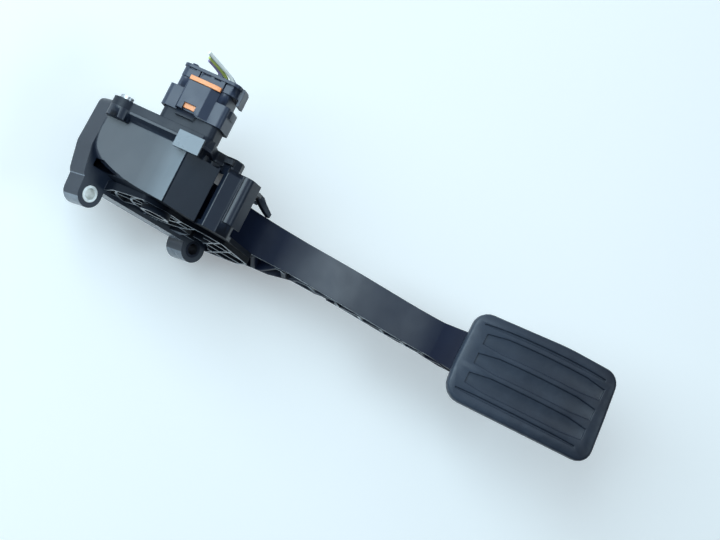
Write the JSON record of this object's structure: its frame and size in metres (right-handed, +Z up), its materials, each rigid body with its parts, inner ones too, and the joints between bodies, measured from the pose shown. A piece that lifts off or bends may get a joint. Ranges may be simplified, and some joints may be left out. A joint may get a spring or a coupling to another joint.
{
  "type": "accelerator pedal",
  "caption": "Suspended electronic accelerator pedal: ribbed sensor housing, curved plastic arm, rubber foot pad and a latched harness plug with wires",
  "frame": {"origin": "a point of the mounting face, on the middle line of the flange and level with the side mounting hole", "axes": "X to the driver's right, Y forward into the bulkhead and out of the mounting face, Z up; the arm hangs down along -Z and leans towards -Y"},
  "size_m": [0.1058, 0.1273, 0.356],
  "materials": {
    "housing_plastic": "satin moulded glass-filled nylon, near black with a cool cast",
    "bush_steel": "zinc-plated steel bush, bright end face",
    "cover_plastic": "satin moulded plastic, dark grey",
    "seal_rubber": "moulded silicone rubber",
    "screw_steel": "zinc-plated steel",
    "board": "green glass-fibre laminate",
    "pin_metal": "tinned brass",
    "axle_steel": "ground steel",
    "clip_steel": "spring steel",
    "magnet": "plastic-bonded ferrite",
    "arm_plastic": "satin moulded glass-filled nylon, near black",
    "pad_rubber": "moulded rubber with sunk tread panels, slightly worn",
    "spring_steel": "oiled spring steel",
    "spring_seat_plastic": "natural grey low-friction plastic",
    "bumper_rubber": "soft rubber",
    "plug_plastic": "satin moulded plastic, dark grey",
    "core_plastic": "moulded plastic",
    "plug_seal_rubber": "silicone rubber, rust orange",
    "cap_plastic": "satin moulded plastic, dark grey",
    "lock_plastic": "semi-gloss orange plastic",
    "grey_insulation": "wire insulation, light grey",
    "white_insulation": "wire insulation, white",
    "green_insulation": "wire insulation, yellow-green",
    "violet_insulation": "wire insulation, violet"
  },
  "bodies": {
    "base": {"housing": "housing_plastic", "upper_bush": "bush_steel", "lower_bush": "bush_steel", "side_bush": "bush_steel", "sensor_cover": "cover_plastic", "cover_seal": "seal_rubber", "cover_screws": "screw_steel", "circuit_board": "board", "terminal_pins": "pin_metal", "outer_spring": "spring_steel", "inner_spring": "spring_steel", "spring_cup": "spring_seat_plastic", "rest_bumper": "bumper_rubber", "stop_bumper": "bumper_rubber", "plug_body": "plug_plastic", "plug_core": "core_plastic", "plug_seal": "plug_seal_rubber", "plug_cap": "cap_plastic", "orange_retainer": "lock_plastic", "grey_wire": "grey_insulation", "white_wire": "white_insulation", "green_wire": "green_insulation", "violet_wire": "violet_insulation"},
    "pedal": {"pedal_arm": "arm_plastic", "pedal_pad": "pad_rubber", "spring_seat": "spring_seat_plastic", "pivot_axle": "axle_steel", "axle_clip": "clip_steel", "sensor_magnet": "magnet"},
    "lock": {"orange_lock": "lock_plastic"}
  },
  "joints": [
    {"name": "pedal_hinge", "type": "hinge", "parent": "base", "child": "pedal", "pos_m": [0, -0.041, 0.009], "axis": [1, 0, 0], "range_deg": [0, 12], "stiffness_Nm_per_rad": 3, "springref_deg": -20.05, "deforming": ["outer_spring", "inner_spring"]},
    {"name": "lock_slide", "type": "slide", "parent": "base", "child": "lock", "axis": [1, 0, 0], "range_m": [0, 0.003]}
  ]
}
